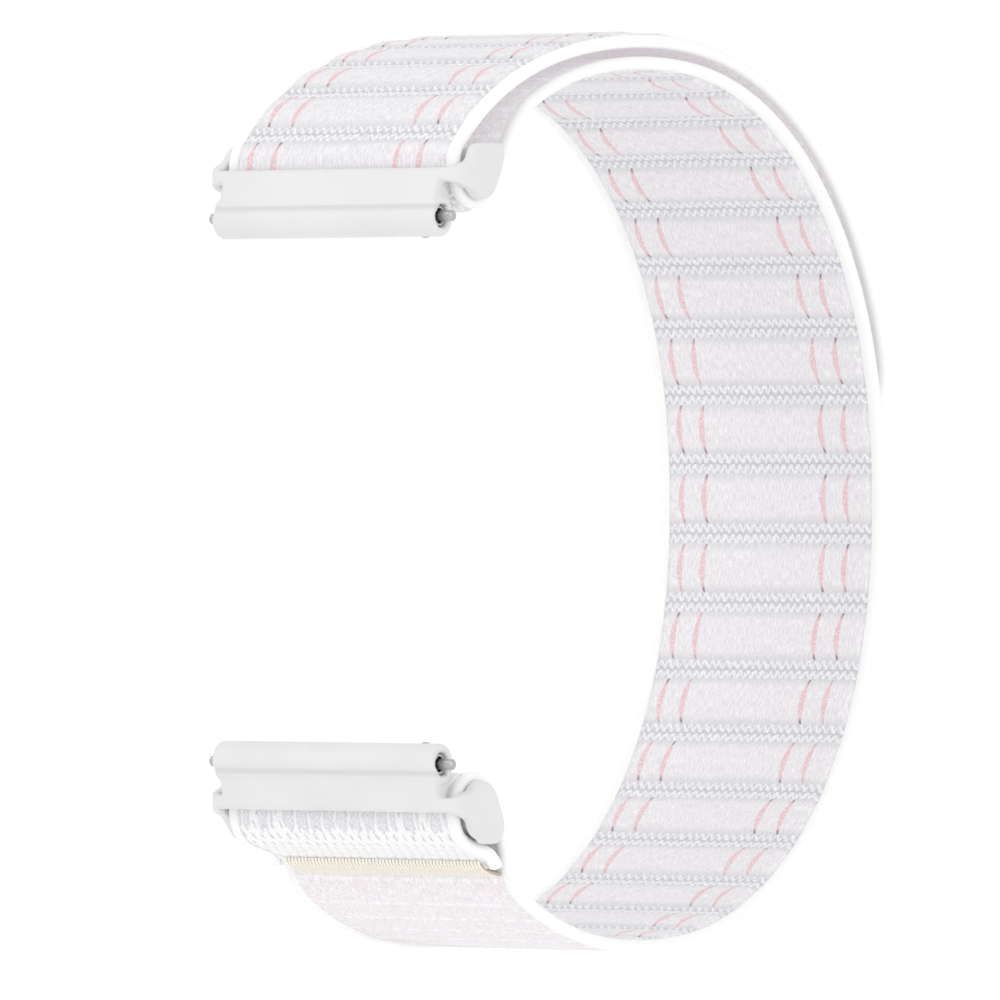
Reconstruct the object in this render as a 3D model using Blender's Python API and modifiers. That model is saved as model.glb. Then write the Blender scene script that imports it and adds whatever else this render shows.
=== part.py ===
"""A hook and loop watch strap, closed into a loop, with a moulded adapter at each end.

The frame: X runs along the wrist, across the strap. -Y points to the front, +Y to the back of the wrist,
and +Z to the upper adapter. The origin lies on the wrist's axis, midway between the two adapters.
"""
import math

import bmesh
import bpy
from mathutils import Matrix, Vector

MM = 0.001

# The loop that the webbing makes round the wrist
loop_radius = 33.75 * MM        # to the middle of the main stretch
loop_drop = 1.0 * MM            # the loop's middle lies this far under the adapters' mid-plane
loop_exponent_share = 2.18      # 2 is a circle, more is squarer

# The webbing
strap_excess = 0.6 * MM         # how much wider the strap is than the gap that an adapter's neck fills
selvage_diameter = 1.1 * MM
core_thickness = 0.9 * MM
core_inset = 0.05 * MM          # of the core's cut ends, from the selvages'
rib_pitch = 5.55 * MM
rib_height = 0.3 * MM
knot_row_width = 1.6 * MM
knot_row_height = 0.05 * MM
layer_gap = 0.3 * MM            # between two lying layers
butt_gap = 0.3 * MM             # between two stretches that meet end to end
rib_phase = 3.1 * MM            # a knot row's height over the back of the loop
fold_draw = 2.8 * MM            # of the ribs, drawn in where the webbing folds round the upper bar
path_step = 0.25 * MM           # of the finely sampled middle line
loop_facet = 2.62 * MM          # of the smooth sides on the loop
run_facet = 1.2 * MM            # of the smooth sides between the loop and a bar
fold_facet = 0.5 * MM           # of the smooth sides round a bar
rib_shares = (0.0, 0.07, 0.24, 0.5, 0.76, 0.93, 1.0)

# The free end and its hook pad
pad_thickness = 0.5 * MM
pad_gap = 0.3 * MM
pad_length = 20.0 * MM
pad_width = 16.6 * MM
pad_tip_margin = 2.2 * MM
tip_angle = 5.0                 # degrees above +Y, where the tip ends
free_lie_angle = 95.0           # degrees, where the free end meets the main stretch
tip_corner_radius = 8.0 * MM
pad_corner_radius = 5.5 * MM

# The tab and the overlock row that ends it
tab_length = 6.2 * MM           # from the fold round the bar to the tab's end, along the main stretch
row_length = 1.5 * MM           # from the tab's end, along the strap
row_rise = 0.5 * MM             # over the tab's outer face
row_overlap = 0.5 * MM          # of the row over the tab
row_steps = 6

# Each adapter
bar_y = -24.8 * MM              # the strap bar's middle
bar_z = 23.9 * MM
bar_turn = 45.0                 # degrees, the strap's slope at the bar
bar_transition = 10.4 * MM      # of the webbing's run between the loop and a bar
bar_thickness = 3.4 * MM
bar_depth = 3.0 * MM
bar_gap = 0.3 * MM
slot_gap = 0.35 * MM
slot_reveal = 1.1 * MM          # of the ribs, from the lip's reach to the fold's end
cheek_gap = 0.25 * MM
cheek_width = 1.15 * MM
cheek_edge = 0.75 * MM          # its rounded rim
cheek_edge_steps = 3
rim_share = 0.5                 # 0.5 is a round rim
toe_reach = 0.6 * MM            # the cheek's lower end, from the strap bar's middle
toe_drop = 0.4 * MM
toe_radius = 1.95 * MM
heel_reach = -0.5 * MM          # the cheek's upper end, from the strap bar's middle
heel_drop = -1.1 * MM
heel_radius = 1.65 * MM
arm_width = 0.85 * MM
arm_radius = 1.6 * MM
arm_corner = 1.8 * MM           # the lip's rounded ends, seen from above
lip_drop = 0.5 * MM             # the lip's middle, from the strap bar's
lip_reach = 3.9 * MM
lip_radius = 0.55 * MM
lip_swell = 0.02 * MM           # of its round edge over the shoulder
shoulder_reach = 3.75 * MM
shoulder_drop = 2.75 * MM
shoulder_radius = 1.3 * MM
shoulder_inset = 0.25 * MM      # of its ends, from the neck's
neck_reach = 4.05 * MM
neck_drop = 3.55 * MM
neck_radius = 1.55 * MM
neck_edge = 0.15 * MM           # the bevel round its ends
lug_width = 20.0 * MM           # of the gap that the neck fills
lug_clearance = 0.1 * MM        # at each end of the neck

# Each spring bar
tube_radius = 0.75 * MM
tube_wall = 0.15 * MM
tube_inset = 0.3 * MM           # from the neck's end
bore_clearance = 0.12 * MM
pin_radius = 0.4 * MM
pin_reach = 1.0 * MM            # past the neck's end
pin_taper = 0.12 * MM
collar_radius = 0.5 * MM
collar_length = 3.0 * MM
fixed_collar_length = 8.0 * MM
release_travel = 1.2 * MM
spring_coil_radius = 0.38 * MM
spring_wire_radius = 0.06 * MM
spring_turns = 9
spring_end_gap = 0.1 * MM
knob_radius = 0.6 * MM
knob_height = 0.7 * MM
knob_stem_radius = 0.28 * MM
knob_stem_gap = 0.08 * MM       # between the stem and the collar it drives
knob_rise = 0.35 * MM           # of the knob's foot over the tube
knob_play = 0.3 * MM            # round the knob and its stem at both ends of the travel

overrun = 1.0 * MM              # of every cutter past what it cuts
weld_distance = 0.001 * MM
round_steps = 32
turned_steps = 20
flat_angle = math.radians(5)    # faces that meet at less are one flat face
coil_points = 10

# Worked out from the sizes above
strap_width = lug_width + strap_excess
selvage_radius = selvage_diameter / 2
core_half = core_thickness / 2
core_half_width = strap_width / 2 - selvage_radius
rib_length = rib_pitch - knot_row_width
layer_step = selvage_diameter + layer_gap
pad_layer_step = core_thickness + pad_thickness + 2 * pad_gap
fold_half_thickness = bar_thickness / 2 + bar_gap + selvage_radius
fold_half_depth = bar_depth / 2 + bar_gap + selvage_radius
cheek_inner = strap_width / 2 + cheek_gap
cheek_outer = cheek_inner + cheek_width
arm_outer = cheek_inner + arm_width
neck_half_length = lug_width / 2 - lug_clearance
tube_half_length = neck_half_length - tube_inset
tube_bore_radius = tube_radius - tube_wall
bore_radius = tube_radius + bore_clearance
knob_x = tube_half_length - tube_inset - collar_length / 2

RIBBED = ("webbing", (0.86, 0.85, 0.87), 0.85, 0.0)
PLAIN = ("plain_webbing", (0.86, 0.86, 0.87), 0.85, 0.0)
THREAD = ("cream_thread", (0.89, 0.86, 0.78), 0.8, 0.0)
HOOKS = ("hook_tape", (0.84, 0.84, 0.84), 0.6, 0.0)
MOULDING = ("adapter_moulding", (0.82, 0.82, 0.83), 0.45, 0.0)
STEEL = ("spring_bar_steel", (0.55, 0.55, 0.56), 0.3, 1.0)


def clear_scene():
    for item in list(bpy.data.objects):
        bpy.data.objects.remove(item, do_unlink=True)


def new_collection(name):
    made = bpy.data.collections.new(name)
    bpy.context.scene.collection.children.link(made)
    return made


def material(finish):
    name, colour, roughness, metallic = finish
    made = bpy.data.materials.new(name)
    made.use_nodes = True
    shader = made.node_tree.nodes["Principled BSDF"]
    shader.inputs["Base Color"].default_value = (*colour, 1.0)
    shader.inputs["Roughness"].default_value = roughness
    shader.inputs["Metallic"].default_value = metallic
    return made


def adopt(item, name, finish):
    """Names a finished object, gives it its own material and puts it in the strap's collection."""
    item.name = name
    item.data.name = name
    for owner in list(item.users_collection):
        owner.objects.unlink(item)
    strap.objects.link(item)
    item.data.materials.clear()
    item.data.materials.append(material(finish))
    item.data.shade_smooth()
    item.data.set_sharp_from_angle(angle=math.radians(40))
    return item


def tool(item):
    """Makes an object a cutter or a piece to be joined, which the model itself leaves out."""
    for owner in list(item.users_collection):
        owner.objects.unlink(item)
    tools.objects.link(item)
    item.hide_render = True
    item.display_type = "WIRE"
    return item


def combine(item, other, operation):
    step = item.modifiers.new(operation.lower(), "BOOLEAN")
    step.operation = operation
    step.solver = "EXACT"
    step.object = tool(other)


def baked(source):
    """Turns a curve, or a mesh with modifiers, into one welded mesh whose place is in its points."""
    bpy.context.view_layer.update()
    graph = bpy.context.evaluated_depsgraph_get()
    mesh = bpy.data.meshes.new_from_object(source.evaluated_get(graph))
    mesh.transform(source.matrix_world)
    bpy.data.objects.remove(source, do_unlink=True)
    shape = bmesh.new()
    shape.from_mesh(mesh)
    bmesh.ops.remove_doubles(shape, verts=shape.verts, dist=weld_distance)
    bmesh.ops.recalc_face_normals(shape, faces=shape.faces)
    shape.to_mesh(mesh)
    shape.free()
    item = bpy.data.objects.new("shape", mesh)
    bpy.context.scene.collection.objects.link(item)
    return item


def curve_object(strokes, flat):
    """A curve of straight runs: closed strokes in its own plane if it is flat, open ones in space if not."""
    data = bpy.data.curves.new("strokes", "CURVE")
    data.dimensions = "2D" if flat else "3D"
    for points in strokes:
        spline = data.splines.new("POLY")
        spline.points.add(len(points) - 1)
        for slot, point in zip(spline.points, points):
            slot.co = (*point, 0.0, 1.0) if flat else (*point, 1.0)
        spline.use_cyclic_u = flat
    item = bpy.data.objects.new("strokes", data)
    bpy.context.scene.collection.objects.link(item)
    return item


def plate(outline, low, high):
    """A flat outline in the YZ plane, as thick along X as from low to high, its two faces exactly there."""
    item = curve_object([outline], flat=True)
    item.data.fill_mode = "BOTH"
    item.data.extrude = (high - low) / 2
    item.location.x = (high + low) / 2
    item.rotation_euler = (math.pi / 2, 0, math.pi / 2)
    made = baked(item)
    for point in made.data.vertices:
        point.co.x = low if point.co.x < (low + high) / 2 else high
    return made


def wire(strokes, radius, resolution=2):
    """Round tubes or wires along strokes, with closed ends."""
    item = curve_object(strokes, flat=False)
    item.data.bevel_depth = radius
    item.data.bevel_resolution = resolution
    item.data.use_fill_caps = True
    return baked(item)


def rod(centre, radius, low, high, steps=round_steps):
    """A round rod along X."""
    place = ((low + high) / 2, centre.x, centre.y)
    bpy.ops.mesh.primitive_cylinder_add(
        vertices=steps, radius=radius, depth=high - low, location=place, rotation=(0, math.pi / 2, 0))
    return bpy.context.active_object


def turned(centre, profile, closed=False, steps=turned_steps):
    """A shape turned about the line along X through a centre, from a profile of (x, radius) points."""
    mesh = bpy.data.meshes.new("profile")
    edges = [(i, i + 1) for i in range(len(profile) - 1)]
    if closed:
        edges.append((len(profile) - 1, 0))
    mesh.from_pydata([(radius, 0, x) for x, radius in profile], edges, [])
    item = bpy.data.objects.new("turned", mesh)
    bpy.context.scene.collection.objects.link(item)
    screw = item.modifiers.new("turn", "SCREW")
    screw.steps = steps
    screw.render_steps = steps
    screw.use_merge_vertices = True
    screw.merge_threshold = weld_distance
    item.rotation_euler = (0, math.pi / 2, 0)
    item.location = (0, centre.x, centre.y)
    return baked(item)


class Line:
    """A finely sampled line in the YZ plane, with its length and its left-hand normal."""

    def __init__(self, points):
        self.points = points
        self.lengths = [0.0]
        for first, second in zip(points, points[1:]):
            self.lengths.append(self.lengths[-1] + (second - first).length)
        self.length = self.lengths[-1]

    def index(self, distance):
        low, high = 0, len(self.lengths) - 2
        while low < high:
            middle = (low + high + 1) // 2
            if self.lengths[middle] <= distance:
                low = middle
            else:
                high = middle - 1
        return low

    def point(self, distance):
        i = self.index(distance)
        span = self.lengths[i + 1] - self.lengths[i]
        return self.points[i].lerp(self.points[i + 1], (distance - self.lengths[i]) / span)

    def heading(self, distance):
        before = self.point(max(distance - path_step, 0.0))
        after = self.point(min(distance + path_step, self.length))
        return (after - before).normalized()

    def offset(self, distance, height):
        along = self.heading(distance)
        return self.point(distance) + height * Vector((-along.y, along.x))


def rounded(value):
    """The loop's squared sine or cosine."""
    return math.copysign(abs(value) ** (2 / loop_exponent_share), value)


def loop_point(angle, radius):
    turn = math.radians(angle)
    return Vector((radius * rounded(math.cos(turn)), radius * rounded(math.sin(turn)) - loop_drop))


def loop_heading(angle, radius):
    nudge = math.degrees(path_step / radius)
    return (loop_point(angle + nudge, radius) - loop_point(angle - nudge, radius)).normalized()


def samples(length):
    return max(2, math.ceil(length / path_step))


def bend(start, start_heading, end, end_heading):
    """A smooth stretch between two points with a heading at each, without its first point."""
    pull = (end - start).length
    count = samples(pull)
    points = []
    for i in range(1, count + 1):
        t = i / count
        points.append(
            (2 * t**3 - 3 * t**2 + 1) * start + (t**3 - 2 * t**2 + t) * pull * start_heading
            + (3 * t**2 - 2 * t**3) * end + (t**3 - t**2) * pull * end_heading)
    return points


def arc_angles(first, last, radius):
    count = samples(abs(math.radians(last - first)) * radius)
    return [first + (last - first) * i / count for i in range(1, count + 1)]


def bar_axes(side):
    """The middle of a strap bar, the way forward and the way out, for the upper (1) or lower (-1)."""
    turn = math.radians(bar_turn)
    centre = Vector((bar_y, side * bar_z))
    forward = Vector((-math.cos(turn), -side * math.sin(turn)))
    out = Vector((-math.sin(turn), side * math.cos(turn)))
    return centre, forward, out


def fold_point(side, turn):
    """A point of the fold round a bar: 0 is its wrist side, 90 its front, 180 its outer side."""
    centre, forward, out = bar_axes(side)
    angle = math.radians(turn)
    return (centre - fold_half_thickness * math.cos(angle) * out
            + fold_half_depth * math.sin(angle) * forward)


def free_radius(angle):
    """How far the free end lies from the loop's middle, a little further over the hook pad."""
    pad_angle = tip_angle + math.degrees((pad_tip_margin + pad_length) / loop_radius)
    share = min(1.0, max(0.0, (free_lie_angle - angle) / (free_lie_angle - pad_angle)))
    ease = share * share * (3 - 2 * share)
    return loop_radius + layer_step + (pad_layer_step - layer_step) * ease


def bar_polar(side):
    """The angle of a strap bar seen from the loop's middle."""
    return side * math.degrees(math.atan2(bar_z + side * loop_drop, bar_y))


def strap_line():
    """The middle line of the whole webbing, from under the overlock row to the free tip, and its stations."""
    marks = {}
    fold_count = samples(math.pi * fold_half_thickness)
    fold_turns = [180 * i / fold_count for i in range(1, fold_count + 1)]
    transition = math.degrees(bar_transition / loop_radius)
    _, forward, _ = bar_axes(-1)
    first = bar_polar(-1) + transition
    lower_run = [fold_point(-1, 0)]
    lower_run += bend(lower_run[0], -forward, loop_point(first, loop_radius),
                      loop_heading(first, loop_radius))
    under = Line(lower_run)
    points = [under.offset(tab_length + row_length * (1 - i / row_steps), -layer_step)
              for i in range(row_steps + 1)]
    marks["tab_end"] = Line(points).length

    points += bend(points[-1], -under.heading(tab_length), fold_point(-1, 180), forward)
    marks["tab_fold"] = Line(points).length
    points += [fold_point(-1, 180 - turn) for turn in fold_turns]
    marks["lower_fold"] = Line(points).length
    points += lower_run[1:]
    marks["loop_start"] = Line(points).length

    points += [loop_point(angle, loop_radius) for angle in arc_angles(first, 0.0, loop_radius)]
    marks["back"] = Line(points).length
    last = bar_polar(1) - transition
    points += [loop_point(angle, loop_radius) for angle in arc_angles(0.0, last, loop_radius)]
    marks["loop_end"] = Line(points).length

    _, forward, _ = bar_axes(1)
    points += bend(points[-1], loop_heading(last, loop_radius), fold_point(1, 0), forward)
    marks["upper_fold"] = Line(points).length
    points += [fold_point(1, turn) for turn in fold_turns]
    marks["free_fold"] = Line(points).length
    lie = free_lie_angle
    lie_radius = free_radius(lie)
    points += bend(points[-1], -forward, loop_point(lie, lie_radius), -loop_heading(lie, lie_radius))
    marks["free_lie"] = Line(points).length
    points += [loop_point(angle, free_radius(angle)) for angle in arc_angles(lie, tip_angle, loop_radius)]
    line = Line(points)
    marks["tip_end"] = line.length
    marks["pad_start"] = line.length - pad_tip_margin - pad_length
    marks["peel_hinge"] = knot_row(marks, marks["free_fold"])
    marks["tip_hinge"] = knot_row(marks, marks["pad_start"] - rib_pitch)
    return line, marks


def rib_origin(marks, place):
    """The middle of one of the knot rows that a place's ribs are counted from."""
    return marks["back"] + rib_phase - (fold_draw if place > marks["upper_fold"] else 0.0)


def knot_row(marks, place):
    """The middle of the first knot row at or after a place."""
    origin = rib_origin(marks, place)
    return origin + math.ceil((place - origin) / rib_pitch) * rib_pitch


def facets(first, last, step):
    count = max(1, round((last - first) / step))
    return [first + (last - first) * i / count for i in range(count)]


def smooth_stations(first, last):
    """Places along a smooth stretch: closest round the folds and widest on the loop."""
    zones = ((marks["tab_end"], run_facet), (marks["tab_fold"], fold_facet), (marks["lower_fold"], run_facet),
             (marks["loop_start"], loop_facet), (marks["loop_end"], run_facet),
             (marks["upper_fold"], fold_facet), (marks["free_fold"], run_facet),
             (marks["free_fold"] + bar_transition, loop_facet))
    places = []
    for i, (low, step) in enumerate(zones):
        high = zones[i + 1][0] if i + 1 < len(zones) else last
        if max(low, first) < min(high, last):
            places += facets(max(low, first), min(high, last), step)
    return places + [last]


def rib_top(place):
    """The ribbed face's height over the middle line: puffed ribs, and flat knot rows between them."""
    along = (place - rib_origin(marks, place) - knot_row_width / 2) % rib_pitch
    dome = math.sqrt(math.sin(math.pi * along / rib_length)) if along < rib_length else 0.0
    return core_half + knot_row_height + (rib_height - knot_row_height) * dome


def rib_stations(first, last):
    """Places along a ribbed stretch, each rib's ends, sides and crown among them."""
    rib = knot_row(marks, first) - rib_pitch + knot_row_width / 2
    places = []
    while rib < last:
        places += [rib + share * rib_length for share in rib_shares]
        rib += rib_pitch
    return [first] + [place for place in places if first < place < last] + [last]


def webbing_core(first, last, ribbed):
    """A stretch of webbing without its selvages, whose left face is ribbed between each pair of places."""
    left = []
    place = first
    for low, high in ribbed:
        if place < low:
            left += [(smooth, core_half) for smooth in smooth_stations(place, low)]
        left += [(station, rib_top(station)) for station in rib_stations(low, high)]
        place = high
    if place < last:
        left += [(smooth, core_half) for smooth in smooth_stations(place, last)]
    outline = [line.offset(place, height) for place, height in left]
    outline += [line.offset(place, -core_half) for place in reversed(smooth_stations(first, last))]
    return plate(outline, -core_half_width, core_half_width)


def selvages(first, last):
    points = [line.point(place) for place in smooth_stations(first, last)]
    return wire([[(x, point.x, point.y) for point in points] for x in (-core_half_width, core_half_width)],
                selvage_radius)


def webbing(first, last, ribbed):
    """A stretch of webbing with square ends and a rounded selvage along each edge."""
    item = webbing_core(first + core_inset, last - core_inset, ribbed)
    combine(item, selvages(first, last), "UNION")
    return item


def corner_cutter(end, forward, half_width, corner, side):
    """Cuts one corner round, off something that ends at a point of the YZ plane and faces forward there."""
    outline = [(corner + overrun, -corner), (corner + overrun, overrun), (0.0, overrun)]
    steps = round_steps // 4
    for i in range(steps + 1):
        turn = math.pi / 2 * (1 - i / steps)
        outline.append((corner * math.cos(turn), corner * math.sin(turn) - corner))
    cutter = curve_object([[(side * (half_width - corner + x), s) for x, s in outline]], flat=True)
    cutter.data.fill_mode = "BOTH"
    cutter.data.extrude = corner
    across = Vector((1, 0, 0))
    ahead = Vector((0, forward.x, forward.y))
    cutter.matrix_world = Matrix((across, ahead, across.cross(ahead))).transposed().to_4x4()
    cutter.matrix_world.translation = (0, end.x, end.y)
    return baked(cutter)


def make_free_tip(first, last):
    """The last stretch: a core with a rounded end, and one selvage that runs all the way round it."""
    end = last - selvage_radius
    corner = tip_corner_radius - selvage_radius
    item = webbing_core(first + core_inset, end, [(first + core_inset, end)])
    for side in (-1, 1):
        cutter = corner_cutter(line.point(end), line.heading(end), core_half_width, corner, side)
        combine(item, cutter, "DIFFERENCE")
    plan = [(core_half_width, place) for place in smooth_stations(first, end - corner)[:-1]]
    steps = round_steps // 4
    for i in range(steps + 1):
        turn = math.pi / 2 * i / steps
        plan.append((core_half_width - corner * (1 - math.cos(turn)), end - corner * (1 - math.sin(turn))))
    plan += [(-x, place) for x, place in reversed(plan)]
    points = [(x, *line.point(place)) for x, place in plan]
    combine(item, wire([points], selvage_radius), "UNION")
    return item


def make_hook_pad():
    """The hook tape under the tip: flat, square at one end and rounded at the other."""
    last = marks["tip_end"] - pad_tip_margin
    places = smooth_stations(marks["pad_start"], last)
    near = -core_half - pad_gap
    outline = [line.offset(place, near) for place in places]
    outline += [line.offset(place, near - pad_thickness) for place in reversed(places)]
    item = plate(outline, -pad_width / 2, pad_width / 2)
    for side in (-1, 1):
        cutter = corner_cutter(line.point(last), line.heading(last), pad_width / 2, pad_corner_radius, side)
        combine(item, cutter, "DIFFERENCE")
    return item


def make_tab_stitching():
    """The overlock row: a rounded bead that wraps the tab's end and stands on the main stretch."""
    foot = butt_gap + core_half - layer_step
    over = core_half + butt_gap
    crown = over + row_rise
    face = marks["tab_end"] - butt_gap
    toe = marks["tab_end"] - row_length + butt_gap
    outline = []
    for i in range(row_steps + 1):
        turn = math.pi / 2 * i / row_steps
        outline.append((face - (face - toe) * math.cos(turn), foot + (crown - foot) * math.sin(turn)))
    for i in range(1, row_steps + 1):
        turn = math.pi / 2 * i / row_steps
        outline.append((face + (butt_gap + row_overlap) * math.sin(turn), over + row_rise * math.cos(turn)))
    outline += [(face, over), (face, foot)]
    half = strap_width / 2 - selvage_diameter
    return plate([line.offset(place, height) for place, height in outline], -half, half)


def belt(first, first_radius, second, second_radius):
    """The outline of a belt round two circles."""
    way = second - first
    facing = math.atan2(way.y, way.x)
    spread = math.acos((first_radius - second_radius) / way.length)
    outline = []
    for centre, radius, start, end in (
            (first, first_radius, facing + spread, facing + 2 * math.pi - spread),
            (second, second_radius, facing - spread, facing + spread)):
        for i in range(round_steps // 2 + 1):
            angle = start + (end - start) * 2 * i / round_steps
            outline.append(centre + radius * Vector((math.cos(angle), math.sin(angle))))
    return outline


def oval(centre, along, half_along, across, half_across):
    outline = []
    for i in range(round_steps):
        angle = 2 * math.pi * i / round_steps
        outline.append(centre + half_along * math.cos(angle) * along + half_across * math.sin(angle) * across)
    return outline


def from_bar(side, reach, drop):
    """A point so far in front of the strap bar's middle, and so far nearer the loop's mid-plane."""
    return Vector((bar_y - reach, side * (bar_z - drop)))


def knob_way(side):
    """The way that the release knob points, out of the neck's wrist side."""
    turn = math.radians(bar_turn)
    return Vector((math.cos(turn), -side * math.sin(turn)))


def box_along(centre, way, x_low, x_high, near, far, half_width):
    """A box whose middle line leaves a centre in the YZ plane, from near to far."""
    across = Vector((-way.y, way.x))
    outline = [centre + way * near - across * half_width, centre + way * far - across * half_width,
               centre + way * far + across * half_width, centre + way * near + across * half_width]
    return plate(outline, x_low, x_high)


def both_ends(low, high):
    """The two stretches along X, one at each end of the adapter, that lie from low to high off its middle."""
    return ((-high, -low), (low, high))


def make_cheek(side, low, high):
    """A thick side plate round the strap bar's end, with a rounded outer rim."""
    toe = from_bar(side, toe_reach, toe_drop)
    heel = from_bar(side, heel_reach, heel_drop)
    cheek = plate(belt(toe, toe_radius, heel, heel_radius), low, high)
    outer = low if low < 0.0 else high
    shape = bmesh.new()
    shape.from_mesh(cheek.data)
    rim = [edge for edge in shape.edges
           if all(abs(point.co.x - outer) < weld_distance for point in edge.verts)
           and edge.calc_face_angle() > flat_angle]
    bmesh.ops.bevel(shape, geom=rim, offset=cheek_edge, segments=cheek_edge_steps, profile=rim_share,
                    affect="EDGES")
    shape.to_mesh(cheek.data)
    shape.free()
    return cheek


def make_adapter_body(name, side):
    """One moulding: neck, shoulder and lip, the strap's bar behind the slot, and a cheek at each end."""
    centre, forward, out = bar_axes(side)
    neck = from_bar(side, neck_reach, neck_drop)
    shoulder = from_bar(side, shoulder_reach, shoulder_drop)
    lip = from_bar(side, lip_reach, lip_drop)
    toe = from_bar(side, toe_reach, toe_drop)
    shoulder_half = neck_half_length - shoulder_inset
    bar_half = cheek_inner + arm_width / 2

    round_half = neck_half_length - neck_edge
    body = turned(neck, [(-neck_half_length, 0.0), (-neck_half_length, neck_radius - neck_edge),
                         (-round_half, neck_radius), (round_half, neck_radius),
                         (neck_half_length, neck_radius - neck_edge), (neck_half_length, 0.0)],
                  steps=round_steps)
    front = belt(lip, lip_radius, shoulder, shoulder_radius)
    combine(body, plate(front, -shoulder_half, shoulder_half), "UNION")
    combine(body, rod(lip, lip_radius + lip_swell, -bar_half, bar_half), "UNION")
    slot = oval(centre, out, fold_half_thickness + selvage_radius + slot_gap,
                forward, fold_half_depth + selvage_radius + slot_gap)
    combine(body, plate(slot, -cheek_inner, cheek_inner), "DIFFERENCE")
    bar = oval(centre, out, bar_thickness / 2, forward, bar_depth / 2)
    combine(body, plate(bar, -bar_half, bar_half), "UNION")
    for low, high in both_ends(cheek_inner, arm_outer):
        combine(body, plate(belt(toe, arm_radius, lip, lip_radius), low, high), "UNION")
    to_front = Vector((-1.0, 0.0))
    for end in (-1, 1):
        cutter = corner_cutter(lip + to_front * lip_radius, to_front, arm_outer - lip_swell, arm_corner, end)
        combine(body, cutter, "DIFFERENCE")
    for low, high in both_ends(cheek_inner, cheek_outer):
        combine(body, make_cheek(side, low, high), "UNION")
    bore_half = neck_half_length + overrun
    combine(body, rod(neck, bore_radius, -bore_half, bore_half), "DIFFERENCE")
    low = knob_x - release_travel - knob_radius - knob_play
    high = knob_x + knob_radius + knob_play
    window = box_along(neck, knob_way(side), low, high, 0.0, neck_radius + overrun, knob_radius + knob_play)
    combine(body, window, "DIFFERENCE")
    return adopt(body, name + "_adapter_body", MOULDING)


def make_spring_bar(name, side):
    """A quick-release spring bar in a neck: tube, fixed tip, sprung plunger, spring and knob."""
    neck = from_bar(side, neck_reach, neck_drop)
    tube = turned(neck, [(-tube_half_length, tube_bore_radius), (-tube_half_length, tube_radius),
                         (tube_half_length, tube_radius), (tube_half_length, tube_bore_radius)], closed=True)
    slot = box_along(neck, knob_way(side), knob_x - release_travel - knob_stem_radius - knob_play,
                     knob_x + knob_stem_radius + knob_play, 0.0, tube_radius + overrun,
                     knob_stem_radius + bore_clearance)
    combine(tube, slot, "DIFFERENCE")
    pieces = [adopt(tube, name + "_spring_bar_tube", STEEL)]

    pin_end = neck_half_length + pin_reach
    step = tube_half_length - tube_inset
    moving = []
    for label, mirror, length in (("fixed_tip", -1, fixed_collar_length), ("plunger", 1, collar_length)):
        profile = [(step - length, 0.0), (step - length, collar_radius), (step, collar_radius),
                   (step, pin_radius), (pin_end - pin_taper, pin_radius),
                   (pin_end, pin_radius - pin_taper), (pin_end, 0.0)]
        pin = turned(neck, [(mirror * x, radius) for x, radius in profile])
        adopt(pin, name + "_spring_bar_" + label, STEEL)
        (pieces if mirror < 0 else moving).append(pin)

    first = fixed_collar_length - step + spring_wire_radius + spring_end_gap
    last = step - collar_length - spring_wire_radius - spring_end_gap
    count = spring_turns * coil_points
    coil = []
    for i in range(count + 1):
        angle = 2 * math.pi * i / coil_points
        arm = spring_coil_radius * Vector((math.cos(angle), math.sin(angle)))
        coil.append((first + (last - first) * i / count, neck.x + arm.x, neck.y + arm.y))
    pieces.append(adopt(wire([coil], spring_wire_radius, resolution=1), name + "_spring_bar_spring", STEEL))

    foot = tube_radius + knob_rise
    stem_low = collar_radius + knob_stem_gap
    top = foot + knob_height
    knob = turned(Vector((0.0, 0.0)), [
        (stem_low, 0.0), (stem_low, knob_stem_radius), (foot, knob_stem_radius), (foot, knob_radius),
        (top - pin_taper, knob_radius), (top, knob_radius - pin_taper), (top, 0.0)])
    way = knob_way(side)
    stand = Matrix(((0, 0, 1), (way.x, -way.y, 0), (way.y, way.x, 0))).to_4x4()
    stand.translation = (knob_x, neck.x, neck.y)
    knob.data.transform(stand)
    moving.append(adopt(knob, name + "_release_knob", STEEL))
    return pieces, moving


def hang(name, place, items):
    """Puts pieces on an empty that stands on their joint's axis, without moving them."""
    pivot = bpy.data.objects.new(name, None)
    strap.objects.link(pivot)
    pivot.location = place
    pivot.empty_display_size = neck_radius
    bpy.context.view_layer.update()
    for item in items:
        item.parent = pivot
        item.matrix_parent_inverse = pivot.matrix_world.inverted()
    return pivot


def outer_hinge(place):
    """A hinge along X on the webbing's outer face, so that what lifts there opens without crossing."""
    point = line.offset(place, selvage_radius)
    return (0.0, point.x, point.y)


clear_scene()
strap = new_collection("hook_and_loop_watch_strap")
tools = new_collection("cutters_and_joined_shapes")
line, marks = strap_line()

# The webbing, stretch by stretch
half_butt = butt_gap / 2
loop_first = marks["tab_fold"] + half_butt
loop_last = marks["peel_hinge"] - half_butt
free_first = marks["peel_hinge"] + half_butt
free_last = marks["tip_hinge"] - half_butt
tab = webbing(marks["tab_end"], marks["tab_fold"] - half_butt, [])
wrist_side = (knot_row(marks, marks["lower_fold"]), knot_row(marks, marks["upper_fold"] - rib_pitch))
in_the_slot = (marks["free_fold"] - slot_reveal, loop_last - core_inset)
loop = webbing(loop_first, loop_last, [wrist_side, in_the_slot])
free = webbing(free_first, free_last, [(free_first + core_inset, free_last - core_inset)])
adopt(tab, "lower_tab", PLAIN)
adopt(loop, "band_loop", RIBBED)
adopt(make_tab_stitching(), "lower_tab_stitching", THREAD)
free_end = adopt(free, "free_end", RIBBED)
free_tip = adopt(make_free_tip(marks["tip_hinge"] + half_butt, marks["tip_end"]), "free_tip", RIBBED)
hook_pad = adopt(make_hook_pad(), "hook_pad", HOOKS)
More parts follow.
